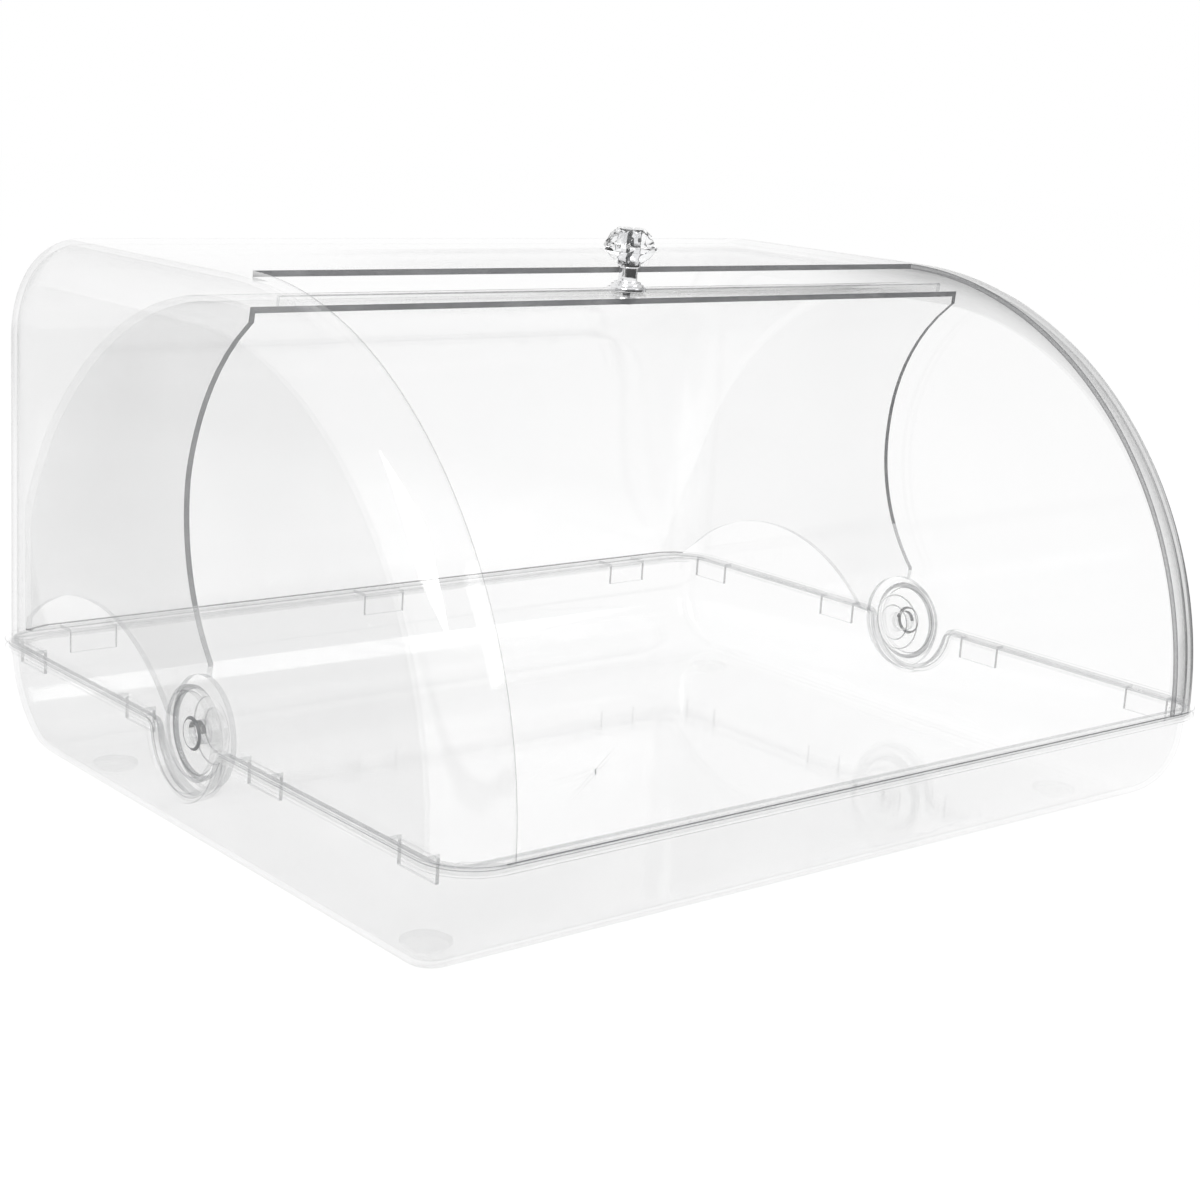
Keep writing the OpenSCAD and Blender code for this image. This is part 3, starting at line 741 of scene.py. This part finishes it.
# %% Rings of the tray
def tray_loop(z, shrink=1.0):
    """The ring's points: corners by angle, end walls at the U's own stations. There the rings
    close up towards the U's edge, from DIP_START at no squeeze to SHEET_TOP at the edge."""
    hx, hy, r = tray_ring(z, shrink)
    yd, zd, _, _ = dip_curve(TRAY_DIP, FLANGE_Z, TRAY_SHOULDER)
    points = []
    for turn in range(4):
        a = np.radians(np.linspace(-90, 0, 9) + 90 * turn)
        side = np.array([[1, -1], [1, 1], [-1, 1], [-1, -1]][turn])
        corner = side * [hx - r, hy - r] + r * np.stack([np.cos(a), np.sin(a)], -1)
        points.append(np.column_stack([corner, np.full(9, z)]))
        if turn in (0, 2):
            order = slice(None) if turn == 0 else slice(None, None, -1)
            y, top = yd[order] * min(1, shrink), zd[order] - FOOT_H
            squeeze = (top - DIP_START) / (SHEET_TOP - DIP_START)
            level = np.where(z > DIP_START, DIP_START + (z - DIP_START) * squeeze, z)
            points.append(np.column_stack([side[0] * half_width(level) * shrink, y, level]))
    points = np.concatenate(points)
    return np.concatenate([points, points[:1]]) + [0, 0, FOOT_H]


scoop_levels, end_levels = (r * (1 - np.cos(np.radians(np.linspace(0, 90, n))))
                            for r, n in ((SCOOP, 30), (END_ROUND, 9)))
levels = np.unique(np.concatenate([scoop_levels, end_levels, np.linspace(SCOOP, SHEET_TOP, 7)]))
floor_rings = [tray_loop(0.0, s) for s in (0.0005, 0.25, 0.5, 0.75, 0.9)]
tray_sheet = Skin().add(np.stack(floor_rings + [tray_loop(z) for z in levels]))


def tray_rule(c, kind):
    """The sheet's top edge lies under the flange and reads soft."""
    return np.where(kind == EDGE, SOFT, kind)


tray_finish = [clear_tray, edge_dark, edge_soft, edge_face]
tray_mesh = rekind(walled(tray_sheet.mesh("tray_sheet", inside=(0, 0, 0.04))), tray_rule)
seat_piece("tray_moulding", tray_mesh, "tray_body", ["tray"], tray_finish)

# %% [markdown]
# The hood stands on a flange round the tray's top. It is broad along the
# front and back, where it bridges to the scoop, and narrow at the ends.

# %% The tray's flange
FLANGE_IN = 2.2
flange = rim_path(BODY_W - 2 * FLANGE_IN, BODY_D - 2 * FLANGE_IN, BODY_R - FLANGE_IN, TRAY_DIP, FLANGE_Z,
                  TRAY_SHOULDER)


def flange_profile(depth):
    """A flat strip with eased edges."""
    c = EASE
    return [(0, -FLANGE_T), (0, -c), (-c, 0), (c - depth, 0), (-depth, -c), (-depth, -FLANGE_T)]


long_run = abs(flange[1][:, 1]) > 0.7
strips = np.array([flange_profile(11.6 if f else 6.3) for f in long_run])
flange_skin = Skin().add(carry(flange, strips), [CLEAR, FACE_EDGE, CLEAR, SOFT, CLEAR, CLEAR])
seat_piece("tray_flange", flange_skin.mesh("tray_flange"), "tray_body", [], tray_finish)

# %% [markdown]
# ## Pivots and knob
# Small turned parts come from one lathe. Each gets eased corners, because
# the corner is where a small clear part shows: as a thin dark ring.

# %% Pins and caps
stud_finish = [clear_finish("clear_stud", 0.03, 0.3, (0.30, 0.305, 0.31)), edge_dark, edge_soft, edge_face]
cap_profile = [(0.01, 2.4), (7.0, 2.4), (7.7, 2.2), (8.5, 1.4), (8.5, 0.05)]
pin_profile = [(0.01, 0.0), (10.4, 0.0), (11.0, 0.5), (11.0, 2.0), (5.95, 2.0), (5.95, 13.4)]
PIN_X = 238.6
for side, sign in (("left", -1), ("right", 1)):
    cap = Skin().add(*lathe(cap_profile, (sign * RECESS_X, PIVOT_Y, PIVOT_Z), (sign, 0, 0),
                            [CLEAR, EDGE, EDGE, CLEAR]))
    seat_piece("cap_" + side, cap.mesh("cap"), "hood_body", ["pivot_cap_" + side], stud_finish)
    pin = Skin().add(*lathe(pin_profile, (sign * PIN_X, PIVOT_Y, PIVOT_Z), (sign, 0, 0),
                            [CLEAR, FACE_EDGE, CLEAR, CLEAR, CLEAR]))
    seat_piece("pin_" + side, pin.mesh("pin"), "hood_body", ["pivot_pin_" + side], stud_finish)

# %% [markdown]
# The knob is a bought one: a faceted clear crystal on a turned, chromed post
# with a stepped foot. The crystal really bends light, so here the shader does
# too, with full transmission; it is small enough to trace.


# %% Where the knob stands
KNOB_FORWARD, CRYSTAL_FOOT, CRYSTAL_HIGH, FACETS = 5.4, 14.7, 18.5, 10
knob_lean = math.asin(KNOB_FORWARD / LID_R)
knob_axis = np.array([0, -math.sin(knob_lean), math.cos(knob_lean)])
knob_foot = np.array([0, PIVOT_Y, PIVOT_Z]) + LID_R * knob_axis
print("knob stands at", knob_foot.round(2))


# %% Chrome post
def chrome_finish(name, tone=0.84, rough=0.04):
    """Metal of this tone; roughness = rough + 0.08 * fine haze, as handled chrome has."""
    m = Finish(name)
    place = m.node("ShaderNodeTexCoord", {}, out=OBJECT_XYZ)
    haze = m.node("ShaderNodeTexNoise", {"Vector": place, "Scale": 180.0, "Detail": 2.0})
    inputs = {"Base Color": (tone, tone, tone + 0.01, 1), "Metallic": 1.0, "Roughness": haze * 0.08 + rough}
    return m.done(m.node("ShaderNodeBsdfPrincipled", inputs))


chrome = chrome_finish("knob_chrome")
post_profile = [(2.2, 0.73), (10.1, 0.73), (10.4, 1.0), (10.4, 2.2), (8.8, 2.4), (8.7, 3.8), (7.1, 4.0),
                (7.0, 5.2), (5.3, 5.5), (5.0, 6.2), (4.9, 9.0), (5.0, 12.6), (5.6, 13.1), (6.3, 13.5),
                (6.3, 14.5), (2.2, 14.7)]
post = Skin().add(*lathe(post_profile, knob_foot, knob_axis, CLEAR))
seat_piece("knob_post", post.mesh("knob_post"), "lid_body", ["knob_neck", "knob_base"], [chrome])
# A fluted core inside the crystal: plain steps, with every third of its faces painted dark, as painted shade
# standing in for the dark refractions that the crystal shows.
insert_profile = [(0.01, 14.9), (4.4, 14.9), (4.4, 19.0), (3.9, 19.4), (3.9, 24.0), (4.4, 24.4), (4.4, 29.6),
                  (3.9, 30.2), (0.01, 30.2)]
painted_dark_flutes = np.where(np.arange(12)[:, None] % 3 == 1, EDGE, CLEAR)
insert = Skin().add(*lathe(insert_profile, knob_foot, knob_axis, painted_dark_flutes, turns=12))
seat_piece("knob_insert", insert.mesh("knob_insert"), "lid_body", [], [chrome, edge_dark])


# %% Crystal
def crystal_grid():
    """Rings of a cut crystal as radius, share of its height and whether the ring is turned by
    half a facet, so that facets meet in points."""
    rings = [(6.2, 0.0, 0), (10.6, 0.18, 1), (13.9, 0.37, 0), (14.25, 0.48, 1), (13.6, 0.62, 0),
             (10.8, 0.84, 1), (7.6, 1.0, 0), (0.01, 1.0, 0)]
    rows = []
    side = np.array([1.0, 0, 0])
    for r, h, odd in rings:
        a = 2 * np.pi * (np.arange(FACETS + 1) + 0.5 * odd + 0.25) / FACETS
        ring = np.cos(a)[:, None] * side + np.sin(a)[:, None] * np.cross(knob_axis, side)
        rows.append(knob_foot + (CRYSTAL_FOOT + h * CRYSTAL_HIGH) * knob_axis + r * ring)
    return np.stack(rows)


def crystal_finish(name):
    """Clear glass that bends light; roughness = 0.03 * a slow haze."""
    m = Finish(name)
    place = m.node("ShaderNodeTexCoord", {}, out=OBJECT_XYZ)
    haze = m.node("ShaderNodeTexNoise", {"Vector": place, "Scale": 120.0})
    inputs = {"Base Color": (0.96, 0.965, 0.97, 1), "Transmission Weight": 1.0, "IOR": 1.5,
              "Roughness": haze * 0.03}
    return m.done(m.node("ShaderNodeBsdfPrincipled", inputs))


cut = Skin().add(crystal_grid()).mesh("knob_crystal_cut")
seat_piece("knob_cut_crystal", cut, "lid_body", ["knob_crystal"], [crystal_finish("crystal")])
cut.polygons.foreach_set("use_smooth", np.zeros(len(cut.polygons), bool))

# %% [markdown]
# The feet, the gasket under the knob, and the washer and screw inside the lid
# are plain turned solids already, so they stay and only get a finish.


# %% Finishes of the solids that stay
def dress(names, finish):
    """Gives the named solids one finish."""
    for name in names:
        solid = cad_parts[name]
        solid.data.materials.clear()
        solid.data.materials.append(finish)


soft_pad = clear_finish("soft_pad", 0.045, 0.4, (0.40, 0.41, 0.42), haze=40.0)
dress(["foot_front_left", "foot_front_right", "foot_back_left", "foot_back_right", "knob_gasket"], soft_pad)
dress(["knob_washer", "knob_screw"], chrome_finish("washer_steel", 0.25, 0.35))
print("pads and steel ready")

# %% [markdown]
# ## Floor, light and camera
# The bin stands on plain white. The floor shows white to the camera, as the
# world does, but part of it is a real surface that keeps a faint shadow.


# %% White floor and world
FLOOR_HALF, FLOOR_GLOW, FLOOR_SHARE, GLOSS_SHARE, CARD_GLOW, CARD_FADE = 6.0, 1.05, 0.86, 0.97, 0.05, 0.2
CARDS = (((-0.65, -0.76, 0.0), 0.75), ((0.93, -0.37, 0.0), 0.45))


def kinds_of_ray(m):
    """Three numbers, 1 for a ray from the camera, from gloss, and through glass."""
    return (m.node("ShaderNodeLightPath", {}, out=ray) for ray in (IS_CAMERA, IS_GLOSSY, IS_TRANSMISSION))


def white_floor():
    """White to the camera, gloss and glass, with two far dark cards that only gloss sees; the rest
    is a lit surface that takes the bin's shadow. Each card is a way to go and where it starts."""
    mesh = bpy.data.meshes.new("floor")
    corners = [(x * FLOOR_HALF, y * FLOOR_HALF, 0) for x, y in ((-1, -1), (1, -1), (1, 1), (-1, 1))]
    mesh.from_pydata(corners, [], [(0, 1, 2, 3)])
    floor = bpy.data.objects.new("floor", mesh)
    scene.collection.objects.link(floor)
    m = Finish("white_floor")
    seen, gloss, bent = kinds_of_ray(m)
    place = m.node("ShaderNodeTexCoord", {}, out=OBJECT_XYZ)
    cards = []
    for way, start in CARDS:
        off = m.node("ShaderNodeVectorMath", {0: place, 1: way}, out=NUMBER, operation="DOT_PRODUCT")
        span = {"Value": off, "From Min": start, "From Max": start + CARD_FADE}
        cards.append(m.node("ShaderNodeMapRange", span))
    card = cards[0].math("MAXIMUM", cards[1]) * gloss
    lit = m.node("ShaderNodeBsdfDiffuse", {"Color": (0.9, 0.9, 0.9, 1)})
    white, dark = (m.node("ShaderNodeEmission", {"Color": WHITE, "Strength": strength})
                   for strength in (FLOOR_GLOW, CARD_GLOW))
    glow_share = (seen * FLOOR_SHARE).math("MAXIMUM", gloss.math("MAXIMUM", bent) * GLOSS_SHARE)
    mesh.materials.append(m.done(m.mix(glow_share, lit, m.mix(card, white, dark))))


def white_world(level):
    """Level for the light that falls on things; white for what the camera, gloss or glass sees."""
    scene.world = bpy.data.worlds.new("studio")
    m = Finish("studio", scene.world)
    seen, gloss, bent = kinds_of_ray(m)
    dim, white = (m.node("ShaderNodeBackground", {"Color": WHITE, "Strength": strength})
                  for strength in (level, 1.0))
    m.done(m.mix(seen.math("MAXIMUM", gloss).math("MAXIMUM", bent), dim, white), end="ShaderNodeOutputWorld")


white_floor()
white_world(0.75)
print("floor and world ready")

# %% [markdown]
# Two square lamps stand at the front, one on each side. The larger gives the
# bright streak down the hood's left round; the other only softens the shade.


# %% Lamps
def softbox(name, place, aim, size, power):
    """A square lamp at place whose -Z axis points at aim."""
    data = bpy.data.lights.new(name, "AREA")
    data.size, data.energy = size, power
    lamp = bpy.data.objects.new(name, data)
    scene.collection.objects.link(lamp)
    lamp.matrix_world = (Matrix.Translation(place)
                         @ (Vector(place) - Vector(aim)).to_track_quat("Z", "Y").to_matrix().to_4x4())


softbox("streak_lamp", (-1.6, -0.9, 1.5), (0, 0, 0.1), 1.2, 34)
softbox("fill_lamp", (1.2, -1.6, 1.2), (0, 0, 0.1), 1.0, 10)
print("lamps ready")

# %% [markdown]
# The camera was solved from the photograph's own straight lines and rims. It
# stands forty degrees round to the left and looks down thirteen.

# %% Camera at the photograph's angle
yaw, pitch, roll = 0.70336, 0.23423, 0.06197
look = np.array([math.sin(yaw) * math.cos(pitch), math.cos(yaw) * math.cos(pitch), -math.sin(pitch)])
right = np.array([math.cos(yaw), -math.sin(yaw), 0.0])
up = np.cross(right, look)
right, up = right * math.cos(roll) + up * math.sin(roll), up * math.cos(roll) - right * math.sin(roll)
camera = bpy.data.objects.new("camera", bpy.data.cameras.new("camera"))
scene.collection.objects.link(camera)
place = np.array([-0.76311, -0.89448, 0.38279])
camera.matrix_world = Matrix(np.vstack([np.column_stack([right, up, -look, place]), [0, 0, 0, 1]]).tolist())
camera.data.lens, camera.data.sensor_width, camera.data.clip_start = 66.366, 36.0, 0.05
scene.camera = camera
scene.view_settings.view_transform = "Standard"
scene.cycles.transparent_max_bounces = 64
print("camera at", place)
